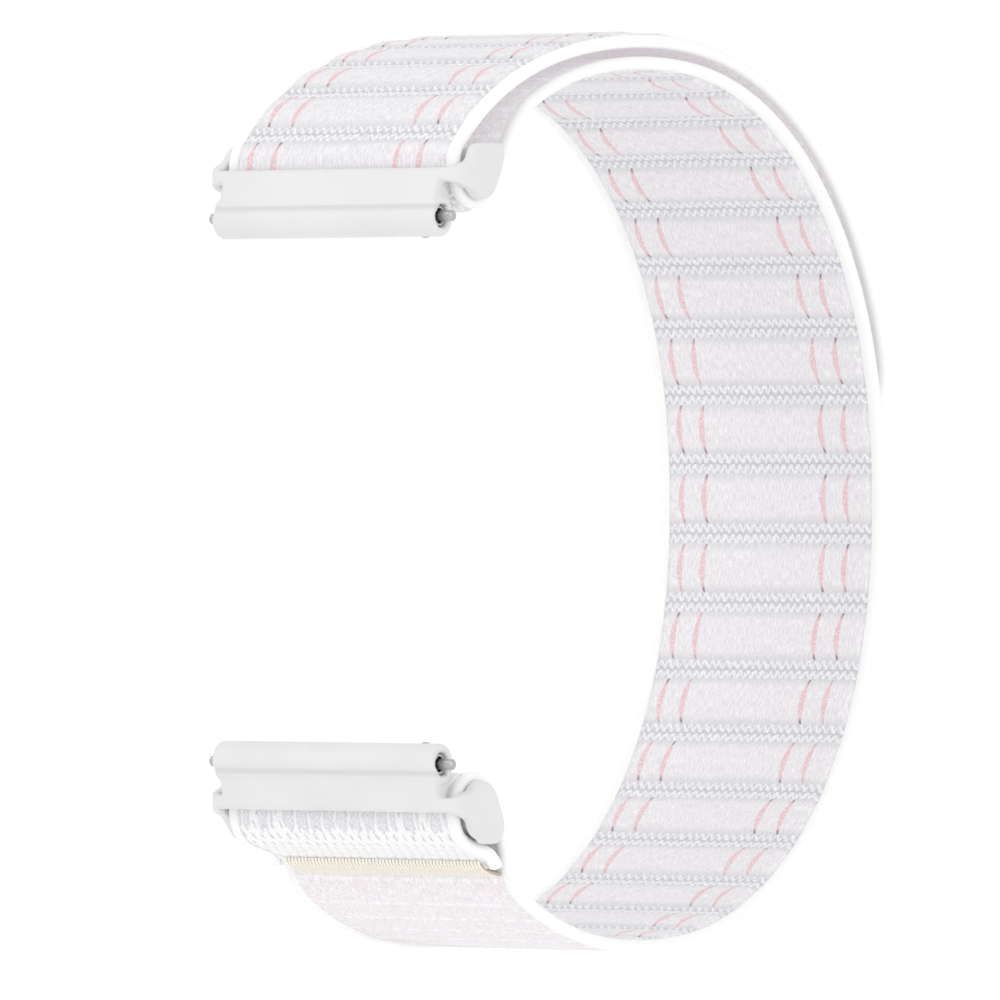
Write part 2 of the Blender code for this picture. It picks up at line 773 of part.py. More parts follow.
tip_pivot = hang("tip_lift", outer_hinge(marks["tip_hinge"]), [free_tip, hook_pad])
hang("free_end_peel", outer_hinge(marks["peel_hinge"]), [free_end, tip_pivot])

# The two adapters with their spring bars
for name, side in (("upper", 1), ("lower", -1)):
    body = make_adapter_body(name, side)
    fixed, moving = make_spring_bar(name, side)
    neck = from_bar(side, neck_reach, neck_drop)
    release = hang(name + "_release", (knob_x, neck.x, neck.y), moving)
    hang(name + "_adapter_pivot", (0.0, bar_y, side * bar_z), [body, *fixed, release])
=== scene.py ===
import math

import bpy
import numpy as np
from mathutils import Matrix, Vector


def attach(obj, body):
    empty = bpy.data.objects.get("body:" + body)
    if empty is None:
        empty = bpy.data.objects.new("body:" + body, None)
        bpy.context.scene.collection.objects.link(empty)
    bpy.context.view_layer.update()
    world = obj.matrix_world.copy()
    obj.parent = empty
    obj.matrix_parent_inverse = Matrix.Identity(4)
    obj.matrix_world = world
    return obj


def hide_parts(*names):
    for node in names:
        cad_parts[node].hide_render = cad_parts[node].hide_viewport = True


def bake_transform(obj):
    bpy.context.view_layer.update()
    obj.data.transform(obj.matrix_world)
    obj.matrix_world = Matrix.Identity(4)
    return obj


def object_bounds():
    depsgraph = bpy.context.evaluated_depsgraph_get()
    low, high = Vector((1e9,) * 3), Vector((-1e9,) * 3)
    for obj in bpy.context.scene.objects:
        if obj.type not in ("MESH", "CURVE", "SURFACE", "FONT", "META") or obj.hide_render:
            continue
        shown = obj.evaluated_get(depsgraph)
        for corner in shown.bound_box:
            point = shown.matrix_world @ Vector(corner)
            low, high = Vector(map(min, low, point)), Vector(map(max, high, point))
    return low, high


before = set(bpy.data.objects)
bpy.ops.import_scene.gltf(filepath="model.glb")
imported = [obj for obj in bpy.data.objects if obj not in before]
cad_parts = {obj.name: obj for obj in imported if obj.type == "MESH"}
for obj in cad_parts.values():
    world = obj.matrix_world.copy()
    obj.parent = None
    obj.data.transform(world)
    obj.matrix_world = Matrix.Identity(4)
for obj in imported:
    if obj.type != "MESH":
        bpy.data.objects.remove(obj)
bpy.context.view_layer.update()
MM = 0.001

# The line that the webbing follows: one strip of woven nylon, which runs from the overlock row over the
# short tab, round the lower bar, behind the wrist, round the upper bar and back over itself to the free tip.
loop_radius = 33.75
loop_drop = 1.0
squareness = 2.18
pitch = 5.55                    # from one knot row to the next
row_width = 1.6                 # of a knot row
half_width = 10.3
thick = 0.76                    # of the webbing where both faces are flat
edge_radius = 0.5               # of the rounded selvage
layer_step = 1.4
pad_step = 2.0                  # between the two layers, with the hook pad between them
gap_dip = 0.25                  # of the inner layer, where the free end first lies on it
dip_spread = 0.35               # of that dip, in radians round the loop
step = 0.25
bar_y, bar_z = -24.8, 23.9
bar_turn = math.radians(45)
fold_x, fold_y = 2.35, 2.55     # half the size of the fold, to the front and through the bar
run = 10.4 / loop_radius        # from the loop to a bar
way_reach = 0.4                 # to each side of a place, where the line's heading is read
tab_length, row_length = 6.2, 1.5
row_steps = 6
tip_angle, lie_angle = math.radians(5), math.radians(95)
pad_length, pad_margin = 20.0, 2.2
tip_corner = 8.0                # radius of the tip's two corners


def loop_point(angle, radius):
    squared = [math.copysign(abs(part) ** (2 / squareness), part)
               for part in (math.cos(angle), math.sin(angle))]
    return np.array((radius * squared[0], radius * squared[1] - loop_drop))


def loop_heading(angle, radius):
    nudge = step / radius
    way = loop_point(angle + nudge, radius) - loop_point(angle - nudge, radius)
    return way / np.linalg.norm(way)


def steps_in(length):
    return max(2, math.ceil(length / step))


def bend(start, start_way, end, end_way):
    pull = np.linalg.norm(end - start)
    count = steps_in(pull)
    made = []
    for i in range(1, count + 1):
        t = i / count
        made.append((2 * t**3 - 3 * t**2 + 1) * start + (t**3 - 2 * t**2 + t) * pull * start_way
                    + (3 * t**2 - 2 * t**3) * end + (t**3 - t**2) * pull * end_way)
    return made


def arc(first, last, radius):
    count = steps_in(abs(last - first) * radius)
    return [first + (last - first) * i / count for i in range(1, count + 1)]


def bar_ways(side):
    centre = np.array((bar_y, side * bar_z))
    forward = np.array((-math.cos(bar_turn), -side * math.sin(bar_turn)))
    out = np.array((-math.sin(bar_turn), side * math.cos(bar_turn)))
    return centre, forward, out


def fold_point(side, turn):
    centre, forward, out = bar_ways(side)
    return centre - fold_y * math.cos(turn) * out + fold_x * math.sin(turn) * forward


def free_radius(angle):
    pad_angle = tip_angle + (pad_margin + pad_length) / loop_radius
    share = min(1.0, max(0.0, (lie_angle - angle) / (lie_angle - pad_angle)))
    return loop_radius + layer_step + (pad_step - layer_step) * share * share * (3 - 2 * share)


def lengths_of(points):
    return np.concatenate(([0.0], np.cumsum(np.linalg.norm(np.diff(np.array(points), axis=0), axis=1))))


def follow(points, place, height=0.0):
    """Points of the YZ plane, in millimetres, so far along a row of points and so high over its left side."""
    points, lengths = np.asarray(points), lengths_of(points)
    place = np.asarray(place, float)
    y, z = np.interp(place, lengths, points[:, 0]), np.interp(place, lengths, points[:, 1])
    low, high = np.clip(place - way_reach, 0, lengths[-1]), np.clip(place + way_reach, 0, lengths[-1])
    way_y = np.interp(high, lengths, points[:, 0]) - np.interp(low, lengths, points[:, 0])
    way_z = np.interp(high, lengths, points[:, 1]) - np.interp(low, lengths, points[:, 1])
    size = np.hypot(way_y, way_z)
    return y - height * way_z / size, z + height * way_y / size


marks = {}
fold_turns = [math.pi * i / steps_in(math.pi * fold_y) for i in range(1, steps_in(math.pi * fold_y) + 1)]
first_angle = -math.atan2(bar_z - loop_drop, bar_y) + run
last_angle = math.atan2(bar_z + loop_drop, bar_y) - run
to_lower, to_upper = bar_ways(-1)[1], bar_ways(1)[1]
lower_run = [fold_point(-1, 0.0)]
lower_run += bend(lower_run[0], -to_lower, loop_point(first_angle, loop_radius),
                  loop_heading(first_angle, loop_radius))
route = [np.array(follow(lower_run, tab_length + row_length * (1 - i / row_steps), -layer_step))
         for i in range(row_steps + 1)]
marks["tab_end"] = lengths_of(route)[-1]
before, after = (np.array(follow(lower_run, tab_length + nudge)) for nudge in (step, -step))
route += bend(route[-1], (after - before) / np.linalg.norm(after - before), fold_point(-1, math.pi), to_lower)
marks["tab_fold"] = lengths_of(route)[-1]
route += [fold_point(-1, math.pi - turn) for turn in fold_turns]
marks["lower_fold"] = lengths_of(route)[-1]
route += lower_run[1:]
route += [loop_point(angle, loop_radius) for angle in arc(first_angle, 0.0, loop_radius)]
marks["back"] = lengths_of(route)[-1]
route += [loop_point(angle, loop_radius - gap_dip * math.exp(-((angle - lie_angle) / dip_spread) ** 2))
          for angle in arc(0.0, last_angle, loop_radius)]
route += bend(route[-1], loop_heading(last_angle, loop_radius), fold_point(1, 0.0), to_upper)
marks["upper_fold"] = lengths_of(route)[-1]
route += [fold_point(1, turn) for turn in fold_turns]
marks["free_fold"] = lengths_of(route)[-1]
lie_radius = free_radius(lie_angle)
route += bend(route[-1], -to_upper, loop_point(lie_angle, lie_radius), -loop_heading(lie_angle, lie_radius))
route += [loop_point(angle, free_radius(angle)) for angle in arc(lie_angle, tip_angle, loop_radius)]
marks["tip_end"] = lengths_of(route)[-1]


def on_line(place, height=0.0):
    return follow(route, place, height)


# The main stretch of webbing: woven nylon, ribbed on the wrist side with satin floats between knot rows, and
# a flat loop face outside. It is woven in one with its two rounded selvages.
rib_phase = 3.1                 # the first knot row's height over the back of the loop
rib_start = marks["back"] + rib_phase
fold_draw = 2.8                 # of the ribs, drawn in round the upper bar
draw_before, draw_after = 3, 6  # of the upper fold, where the drawing in starts and ends
crown, row_top = 0.75, 0.5      # over the webbing's middle line
knot_pitch = 0.68               # from one knot to the next, across the strap
knot_foot, knot_rise = 0.04, 0.12
sub_row_middle, sub_row_half = 0.4, 0.42        # from a knot row's middle, and half a sub-row's width
yarn_count = 400                # of the unlike yarns, which then repeat
yarn_lift, strand_lift = 0.008, 0.01
dash_middles = (-7.95, -5.85, 5.15, 7.25)
selvage_width = 1.05
face_start, face_full = 0.75, 1.35              # from the edge, where the woven face rises
least_half = 0.3                # of the thickness between the selvage and the face
tip_rim = 1.1                   # of the rounded tip, with its stations as close as the edge's columns
kinds = {"ribs": 0.0, "selvage": 1.0, "loops": 2.0, "tab": 3.0}


def ease(low, high, value):
    share = np.clip((value - low) / (high - low), 0, 1)
    return share * share * (3 - 2 * share)


def rib_count(place):
    """How many ribs a place lies past the first one. The fold draws the ribs in round the upper bar."""
    drawn = ease(marks["upper_fold"] - draw_before, marks["upper_fold"] + draw_after, place)
    return (place - rib_start + fold_draw * drawn) / pitch


first_row = rib_start - math.floor((rib_start - marks["lower_fold"]) / pitch) * pitch
row_offsets = np.arange(-4, 5) * 0.2
rib_shares = np.array((0.03, 0.12, 0.3, 0.5, 0.7, 0.88, 0.97))
offsets = np.concatenate((row_offsets, row_width / 2 + rib_shares * (pitch - row_width))) / pitch
fine_places = np.arange(0, marks["tip_end"], 0.02)
fine_counts = rib_count(fine_places)


def stations(first, last):
    counts = np.sort((np.arange(-40, 60)[:, None] + offsets[None, :]).ravel())
    places = np.interp(counts, fine_counts, fine_places)
    inside = places[(places > first + 0.05) & (places < last - 0.05)]
    return np.concatenate(([first], inside, [last]))


edge_steps = np.array((0.0, 0.06, 0.22, 0.5, 0.8, 1.05))
near_columns = np.arange(-54, 55) * knot_pitch / 4
far_columns = np.linspace(-9.1, 9.1, 41)
ring_x = np.concatenate((-half_width + edge_steps, near_columns, half_width - edge_steps[::-1],
                         half_width - edge_steps[1:], far_columns[::-1], -half_width + edge_steps[:0:-1]))
near_side = np.arange(len(ring_x)) <= 2 * len(edge_steps) + len(near_columns) - 1
ring_x = np.append(ring_x, ring_x[0])
near_side = np.append(near_side, True)
random = np.random.default_rng(7)
unevenness = random.normal(0, 1, yarn_count)


def ribbed_height(x, place):
    """Height of the ribbed face over the webbing's middle line: puffed ribs, and two sub-rows of knots."""
    count = rib_count(place)
    from_row = (count - np.round(count)) * pitch
    along = (from_row % pitch - row_width / 2) / (pitch - row_width)
    dome = np.sqrt(np.sin(math.pi * np.clip(along, 0, 1)))
    yarn = np.round(x / (knot_pitch / 4)).astype(int)
    strand = yarn // 6 + 7 * np.floor(count).astype(int)
    lift = yarn_lift * unevenness[yarn % yarn_count] + strand_lift * unevenness[strand % yarn_count]
    rib = row_top + (crown - row_top + lift) * dome
    stagger = np.where(from_row < 0, 0.5, 0.0)
    knot = 0.5 + 0.5 * np.cos(2 * math.pi * (x / knot_pitch + stagger))
    knot = knot * np.cos(math.pi / 2 * np.clip((np.abs(from_row) - sub_row_middle) / sub_row_half, -1, 1))
    return np.where(np.abs(from_row) < row_width / 2 - 0.01, row_top - knot_foot + knot_rise * knot, rib)


def close_up(made):
    """Merges the seam of a wrapped grid, caps its open ends and turns its faces outwards."""
    bpy.ops.object.mode_set(mode="EDIT")
    bpy.ops.mesh.select_all(action="SELECT")
    bpy.ops.mesh.remove_doubles(threshold=1e-7)
    bpy.ops.mesh.select_all(action="DESELECT")
    bpy.ops.mesh.select_mode(type="EDGE")
    bpy.ops.mesh.select_non_manifold(extend=False, use_wire=False, use_multi_face=False)
    bpy.ops.mesh.edge_face_add()
    bpy.ops.mesh.select_all(action="SELECT")
    bpy.ops.mesh.normals_make_consistent(inside=False)
    bpy.ops.object.mode_set(mode="OBJECT")
    bpy.ops.object.shade_smooth_by_angle(angle=math.radians(60))


def webbing(name, first, last, ribbed_from, rounded_end=False):
    """A length of webbing, from a grid that is wrapped round its thickness and laid along the line."""
    places = stations(first, last)
    if rounded_end:
        places = np.sort(np.concatenate((places[places < last - tip_rim], last - edge_steps)))
    columns, rows = len(ring_x) - 1, len(places) - 1
    bpy.ops.object.select_all(action="DESELECT")
    bpy.ops.mesh.primitive_grid_add(x_subdivisions=columns, y_subdivisions=rows, size=2)
    made = bpy.context.active_object
    made.name = made.data.name = name
    count = len(made.data.vertices)
    flat = np.empty(count * 3)
    made.data.vertices.foreach_get("co", flat)
    flat = flat.reshape(-1, 3)
    column = np.rint((flat[:, 0] + 1) / 2 * columns).astype(int)
    row = np.rint((flat[:, 1] + 1) / 2 * rows).astype(int)
    x, place, near = ring_x[column], places[row], near_side[column]
    edge = half_width - np.abs(x)
    if rounded_end:
        corner = tip_corner
        a = np.clip((np.abs(x) - (half_width - corner)) / corner, 0, 1)
        b = np.clip((place - (last - corner)) / corner, 0, 1)
        inside = (a > 0) & (b > 0)
        round_x = half_width - corner + corner * a * np.sqrt(1 - b * b / 2)
        round_place = last - corner + corner * b * np.sqrt(1 - a * a / 2)
        x = np.where(inside, np.sign(x) * round_x, x)
        place = np.where(inside, round_place, place)
        a, b = (np.abs(x) - (half_width - corner)), place - (last - corner)
        from_corner = np.where((a > 0) & (b > 0), corner - np.hypot(a, b), corner)
        edge = np.minimum(np.minimum(half_width - np.abs(x), last - place), from_corner)
    edge = np.maximum(edge, 0.0)
    bead = np.sqrt(np.maximum(edge_radius**2 - (edge_radius - np.minimum(edge, 2 * edge_radius))**2, 0))
    ribbed = near & (place >= ribbed_from)
    face = np.where(ribbed, ribbed_height(x, place), thick / 2) * ease(face_start, face_full, edge)
    height = np.where(edge < edge_radius, bead, np.maximum(np.maximum(bead, face), least_half))
    height = np.where(near, height, -height)
    y, z = on_line(place, height)
    made.data.vertices.foreach_set("co", (np.stack((x, y, z), 1) * MM).ravel())
    kind = np.where(ribbed, kinds["ribs"], np.where(near, kinds["tab"], kinds["loops"]))
    kind = np.where(edge < selvage_width, kinds["selvage"], kind)
    weave = made.data.attributes.new("weave", "FLOAT_VECTOR", "POINT")
    weave.data.foreach_set("vector", np.stack((x, rib_count(place), kind), 1).ravel())
    made.data.update()
    close_up(made)
    return made


class Value:
    """A number, colour or vector that runs between the nodes of a finish."""

    def __init__(self, finish, socket):
        self.finish = finish
        self.socket = socket

    def math(self, operation, *others):
        return self.finish.node("ShaderNodeMath", {"operation": operation}, [self, *others])

    def __add__(self, other):
        return self.math("ADD", other)

    def __sub__(self, other):
        return self.math("SUBTRACT", other)

    def __mul__(self, other):
        return self.math("MULTIPLY", other)

    def __truediv__(self, other):
        return self.math("DIVIDE", other)

    def __rsub__(self, other):
        return self.finish.node("ShaderNodeMath", {"operation": "SUBTRACT"}, [other, self])

    def between(self, low, high, start=0.0, end=1.0):
        """Goes smoothly from start to end as the value goes from low to high."""
        return self.finish.node("ShaderNodeMapRange", {"interpolation_type": "SMOOTHSTEP"},
                                [self, low, high, start, end])


class Finish:
    """A procedural material, built up node by node."""

    def __init__(self, name, roughness, metallic=0.0):
        self.material = bpy.data.materials.new(name)
        self.material.use_nodes = True
        self.tree = self.material.node_tree
        self.shader = self.tree.nodes["Principled BSDF"]
        self.shader.inputs["Roughness"].default_value = roughness
        self.shader.inputs["Metallic"].default_value = metallic

    def put(self, socket, value):
        if isinstance(value, Value):
            self.tree.links.new(value.socket, socket)
        else:
            socket.default_value = value

    def node(self, kind, settings, inputs, out=0):
        made = self.tree.nodes.new(kind)
        for name, value in settings.items():
            setattr(made, name, value)
        for name, value in inputs.items() if isinstance(inputs, dict) else enumerate(inputs):
            self.put(made.inputs[name], value)
        return Value(self, made.outputs[out])

    def mix(self, share, first, second):
        return self.node("ShaderNodeMix", {"data_type": "RGBA"}, {0: share, 6: first, 7: second}, 2)

    def noise(self, vector, scale, detail=2.0):
        return self.node("ShaderNodeTexNoise", {}, {"Vector": vector, "Scale": scale, "Detail": detail})

    def vector(self, *parts):
        return self.node("ShaderNodeCombineXYZ", {}, list(parts))

    def set(self, **inputs):
        for name, value in inputs.items():
            self.put(self.shader.inputs[name.replace("_", " ")], value)

    def bump(self, height, distance):
        self.put(self.shader.inputs["Normal"], self.node(
            "ShaderNodeBump", {}, {"Strength": 1.0, "Distance": distance * MM, "Height": height}))


def shade(red, green, blue):
    """A colour as a screen shows it, in 8 bits a channel, turned into the light that it stands for."""
    return (*[(part / 255 / 12.92) if part < 10.3 else ((part / 255 + 0.055) / 1.055) ** 2.4
              for part in (red, green, blue)], 1.0)


def woven_finish(name):
    """Nylon webbing: satin ribs with pink dashes, knot rows, a loop face, the tab's face and selvages."""
    cloth = Finish(name, 0.62)
    cloth.shader.inputs["Specular IOR Level"].default_value = 0.25
    weave = cloth.node("ShaderNodeAttribute", {"attribute_name": "weave"}, {}, "Vector")
    x, count, kind = [cloth.node("ShaderNodeSeparateXYZ", {}, [weave], out) for out in range(3)]
    along = count * pitch
    from_row = ((count + 0.5).math("FRACT") - 0.5) * pitch
    off_row = from_row.math("ABSOLUTE")
    off_crown = pitch / 2 - off_row
    grain = cloth.noise(cloth.vector(x * 9.0, along * 5.0, 3.0), 1.0, 2.0)

    # Ribs: satin strands that run lengthwise, with painted shade beside the knot rows
    strands = cloth.noise(cloth.vector(x * 8.0, along * 1.3, 0.0), 1.0, 3.0)
    hairs = cloth.noise(cloth.vector(x * 17.0, along * 3.5, 9.0), 1.0, 1.0)
    sheen = strands.between(0.3, 0.7) * 0.55 + hairs.between(0.25, 0.75) * 0.45
    rib = cloth.mix(sheen, shade(218, 216, 219), shade(252, 250, 252))
    # Painted shade on each rib next to the knot rows, a little patchy
    row_shade = off_row.between(0.78, 1.6, 0.45, 0.0) * grain.between(0.2, 0.8, 0.7, 1.2)
    rib = cloth.mix(row_shade, rib, shade(206, 205, 211))

    # Pink dashes, bowed sideways, with painted shade at their ends where the thread dives into the weave
    dash = 0.0
    for middle in dash_middles:
        bowed = x - middle - off_crown * off_crown * 0.065 + (hairs - 0.5) * 0.1
        half = off_crown.between(0.3, 2.0, 0.26, 0.1)
        dash = ((bowed + 0.1).math("ABSOLUTE") - half).between(-0.06, 0.04, 1.0, 0.0).math("MAXIMUM", dash)
    dash = dash * off_row.between(0.8, 0.88)
    speck = cloth.noise(cloth.vector(x * 11.0 + along * 4.0, along * 4.5, 2.0), 1.0, 1.0).between(0.45, 0.7)
    pink = cloth.mix(speck, shade(231, 196, 200), shade(246, 232, 234))
    # Painted shade at the dashes' ends, stronger on some than on others
    end_shade = cloth.noise(cloth.vector(x * 0.6, along * 0.6, 7.0), 1.0, 0.0).between(0.35, 0.6, 0.25, 0.95)
    pink = cloth.mix(off_crown.between(1.3, 1.8) * end_shade, pink, shade(146, 126, 132))
    rib = cloth.mix(dash, rib, pink)

    # Knot rows: two staggered sub-rows of short white teeth, which lean, with painted shade in the hollows
    # between them
    stagger = from_row.between(-0.02, 0.02, 0.5, 0.0)
    shaken = x + (cloth.noise(cloth.vector(x * 1.1, along * 0.9, 4.0), 1.0, 1.0) - 0.5) * 0.5
    wave = ((shaken + from_row * 0.2) / knot_pitch + stagger).math("MULTIPLY", 2 * math.pi).math("COSINE")
    zigzag = ((shaken / knot_pitch + stagger).math("FRACT") - 0.5).math("ABSOLUTE") * 2
    off_thread = ((off_row - 0.12) / 0.66 - zigzag).math("ABSOLUTE") + (grain - 0.5) * 1.5
    tooth = off_thread.between(-0.05, 0.5, 0.95, 0.0) * off_row.between(0.7, 0.88, 1.0, 0.0)
    # Painted shade in the hollows between the teeth, deepest towards the middle of each row
    hollow_shade = off_thread.between(0.3, 0.9) * off_row.between(0.62, 0.85, 0.85, 0.25)
    rows = cloth.mix(hairs.between(0.25, 0.75), shade(219, 218, 223), shade(237, 236, 240))
    rows = cloth.mix(hollow_shade * 0.85, rows, shade(195, 194, 200))
    rows = cloth.mix(tooth, rows, shade(252, 251, 253))
    in_row = (off_row + (wave * 0.05)).between(0.76, 0.86, 1.0, 0.0)
    ribs = cloth.mix(in_row, rib, rows)

    # The loop face: fine pale loops, crossed by broken rows of white dashes, with a little pink in them
    rung = (0.5 - ((count * 2).math("FRACT") - 0.5).math("ABSOLUTE")) * (pitch / 2)
    broken = cloth.noise(cloth.vector(x * 1.7, (count * 2 + 0.5).math("FLOOR") * 3.7, 9.0), 1.0, 3.0)
    wander = cloth.noise(cloth.vector(x * 0.8, (count * 2 + 0.5).math("FLOOR") * 2.3, 5.0), 1.0, 1.0)
    rung = (rung + (wander - 0.5) * 0.5 + (hairs - 0.5) * 0.5).between(0.02, 0.3, 0.9, 0.0)
    rung = rung * broken.between(0.4, 0.6)
    nap = (sheen * 0.4 + grain * 0.6).between(0.3, 0.7)
    nap = cloth.mix(nap, shade(227, 223, 227), shade(253, 251, 253))
    blush = cloth.noise(cloth.vector(x * 0.7, along * 0.5, 6.0), 1.0, 0.0).between(0.56, 0.7)
    nap = cloth.mix(blush * hairs.between(0.45, 0.6) * 0.7, nap, shade(245, 228, 231))
    loops = cloth.mix(rung, nap, shade(254, 253, 255))

    # The tab's face: white with short grey strokes, and grey columns at the slot, left white at the dashes
    down = tab_columns - along
    stroke_row = down / 0.9
    stroke_part = stroke_row.math("FRACT") - 0.5
    stroke = (shaken / 0.8 + stroke_row.math("FLOOR") * 0.5 - stroke_part * 0.15).math("FRACT") - 0.5
    stroke = stroke.math("ABSOLUTE").between(0.04, 0.17, 1.0, 0.0) * grain.between(0.35, 0.65)
    stroke = stroke * stroke_part.math("ABSOLUTE").between(0.2, 0.42, 1.0, 0.0)
    facing = cloth.mix(grain.between(0.3, 0.7), shade(239, 238, 242), shade(255, 255, 255))
    facing = cloth.mix(stroke * 0.9, facing, shade(203, 202, 208))
    column = (shaken / 1.2).math("MULTIPLY", 2 * math.pi).math("COSINE")
    column = (column + (grain - 0.5) * 1.8).between(-0.9, -0.3)
    for middle in dash_middles:
        column = column * ((x - middle).math("ABSOLUTE") + (grain - 0.5) * 0.4).between(0.3, 0.5)
    column = column * (down + (grain - 0.5) * 1.2 + (wave * 0.2)).between(-0.35, 0.0, 1.0, 0.0)
    facing = cloth.mix(column * 0.95, facing, cloth.mix(grain.between(0.3, 0.7), shade(216, 215, 220),
                                                        shade(245, 244, 247)))

    border = cloth.mix(grain, shade(247, 247, 246), shade(253, 253, 252))
    colour = cloth.mix(kind.between(0.4, 0.6), ribs, border)
    colour = cloth.mix(kind.between(1.4, 1.6), colour, loops)
    colour = cloth.mix(kind.between(2.4, 2.6), colour, facing)

    # Painted glow where two layers lie together: a quarter of the loop face's colour is given as emission,
    # standing in for light that comes through the thin cloth
    painted_glow = count.between(covered_from, covered_from + 1.0) * kind.between(1.4, 1.6)
    dark = (0.0, 0.0, 0.0, 1.0)
    cloth.set(Base_Color=cloth.mix(painted_glow * 0.25, colour, dark))
    cloth.set(Emission_Color=cloth.mix(painted_glow * 0.25, dark, colour))
    cloth.shader.inputs["Emission Strength"].default_value = 1.0
    cloth.material.cycles.emission_sampling = "NONE"
    ribbed_lift = sheen * (1 - in_row) * 0.5 + (tooth * 0.6 + 0.4 - hollow_shade * 0.4) * in_row
    looped_lift = rung * 0.6 + sheen * 0.4
    tab_lift = 1 - stroke.math("MAXIMUM", column) * 0.8
    lift = ribbed_lift * kind.between(0.4, 0.6, 1.0, 0.0) + looped_lift * kind.between(1.4, 1.6)
    cloth.bump(lift + (tab_lift - looped_lift) * kind.between(2.4, 2.6), 0.06)
    return cloth.material


def dress(piece, finish, slot, *nodes):
    piece.data.materials.clear()
    piece.data.materials.append(finish)
    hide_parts(*nodes)


columns_past = 0.45             # of the tab's grey columns, past its fold
split_before = 3.0              # of the upper fold's end, inside the slot
tab_columns = marks["tab_fold"] - rib_start + columns_past
covered_from = float(rib_count(marks["back"] + tip_angle * loop_radius))
webbing_finish = woven_finish("ribbed_nylon")
lower_split = (marks["tab_fold"] + marks["lower_fold"]) / 2
upper_split = marks["free_fold"] - split_before
loop =webbing("main_webbing", lower_split, upper_split, first_row)
dress(loop, webbing_finish, "webbing", "band_loop")
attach(loop, "strap")

# The short tab: the end of the same webbing, folded outwards round the lower bar, with its loop face outside.
# The overlock row ends it and sews it down.
tab = webbing("tab_webbing", marks["tab_end"], lower_split, marks["tip_end"])
dress(tab, webbing_finish, "plain_webbing", "lower_tab")
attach(tab, "strap")

# The overlock row: cream thread, wrapped over the tab's cut end in slanted stitches that bite the main
# stretch.
stitch_count = 58
stitch_radius = 0.15
stitch_slant = 0.15             # sideways, for each millimetre along the strap
stitch_first, stitch_last = -8.35, 9.0


def tubes(name, paths, radius, sides=8):
    """Closed round tubes in millimetres: a rolled grid, repeated and laid along each row of points."""
    paths = np.asarray(paths, float)
    count, rows = paths.shape[:2]
    bpy.ops.object.select_all(action="DESELECT")
    bpy.ops.mesh.primitive_grid_add(x_subdivisions=sides, y_subdivisions=rows - 1, size=2)
    made = bpy.context.active_object
    made.name = made.data.name = name
    flat = np.empty(len(made.data.vertices) * 3)
    made.data.vertices.foreach_get("co", flat)
    flat = flat.reshape(-1, 3)
    angle = np.rint((flat[:, 0] + 1) / 2 * sides) * 2 * math.pi / sides
    row = np.rint((flat[:, 1] + 1) / 2 * (rows - 1))
    made.data.vertices.foreach_set("co", np.stack((np.cos(angle), np.sin(angle), row), 1).ravel())
    # 'top' says how squarely each point faces the tube's aside direction; the thread finish paints light and
    # shade from it
    for title, values in (("turn", angle), ("row", row), ("top", np.abs(np.cos(angle)))):
        made.data.attributes.new(title, "FLOAT", "POINT").data.foreach_set("value", values)
    close_up(made)
    each = len(made.data.vertices)
    repeat = made.modifiers.new("repeat", "ARRAY")
    repeat.count = count
    bpy.ops.object.modifier_apply(modifier=repeat.name)
    angle, row = np.empty(each * count), np.empty(each * count)
    made.data.attributes["turn"].data.foreach_get("value", angle)
    made.data.attributes["row"].data.foreach_get("value", row)
    row = row.astype(int)
    which = np.arange(each * count) // each
    way = np.gradient(paths, axis=1)
    way /= np.linalg.norm(way, axis=2)[:, :, None]
    aside = np.cross(way, (1.0, 0.0, 0.0))
    aside[np.linalg.norm(aside, axis=2) < 0.1] = (0.0, 1.0, 0.0)
    aside -= way * np.sum(aside * way, axis=2)[:, :, None]
    aside /= np.linalg.norm(aside, axis=2)[:, :, None]
    above = np.cross(way, aside)
    ring = np.cos(angle)[:, None] * aside[which, row] + np.sin(angle)[:, None] * above[which, row]
    made.data.vertices.foreach_set("co", ((paths[which, row] + ring * radius) * MM).ravel())
    made.data.update()
    return made


def joined(name, parts):
    bpy.ops.object.select_all(action="DESELECT")
    for part in parts:
        part.select_set(True)
    bpy.context.view_layer.objects.active = parts[0]
    bpy.ops.object.join()
    made = bpy.context.active_object
    made.name = made.data.name = name
    return made


row_path = ((-1.25, -0.98), (-1.1, -0.7), (-0.75, -0.3), (-0.3, 0.2), (0.05, 0.5), (0.45, 0.64), (0.85, 0.6),
            (1.05, 0.4))        # along the tab's line past its end, and high over it
stitches = []
for x in np.linspace(stitch_first, stitch_last, stitch_count):
    path = []
    for past, height in row_path:
        y, z = on_line(marks["tab_end"] + past, height)
        path.append((x - stitch_slant * past, y, z))
    stitches.append(path)
overlock = tubes("tab_overlock", stitches, stitch_radius)


def thread_finish(name, groove_shade, lit_crest):
    """Spun thread: painted light on the outward side of each turn, painted shade in the grooves between the
    turns, a little lighter along each thread, with a fine twist.
    """
    spun = Finish(name, 0.75)
    top = spun.node("ShaderNodeAttribute", {"attribute_name": "top"}, {}, "Fac")
    place = spun.node("ShaderNodeTexCoord", {}, {}, "Object")
    twist = spun.noise(place, 5000.0, 1.0)
    row = spun.node("ShaderNodeAttribute", {"attribute_name": "row"}, {}, "Fac")
    # Painted light and shade across each thread, rising a little along it
    lit = (top + row * 0.05 - 0.2).between(0.35, 0.85) * twist.between(0.2, 0.6, 0.8, 1.0)
    spun.set(Base_Color=spun.mix(lit, groove_shade, lit_crest))
    spun.bump(twist, 0.02)
    return spun.material


cream = thread_finish("cream_thread", shade(200, 186, 163), shade(252, 249, 240))
dress(overlock, cream, "cream_thread", "lower_tab_stitching")
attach(overlock, "strap")

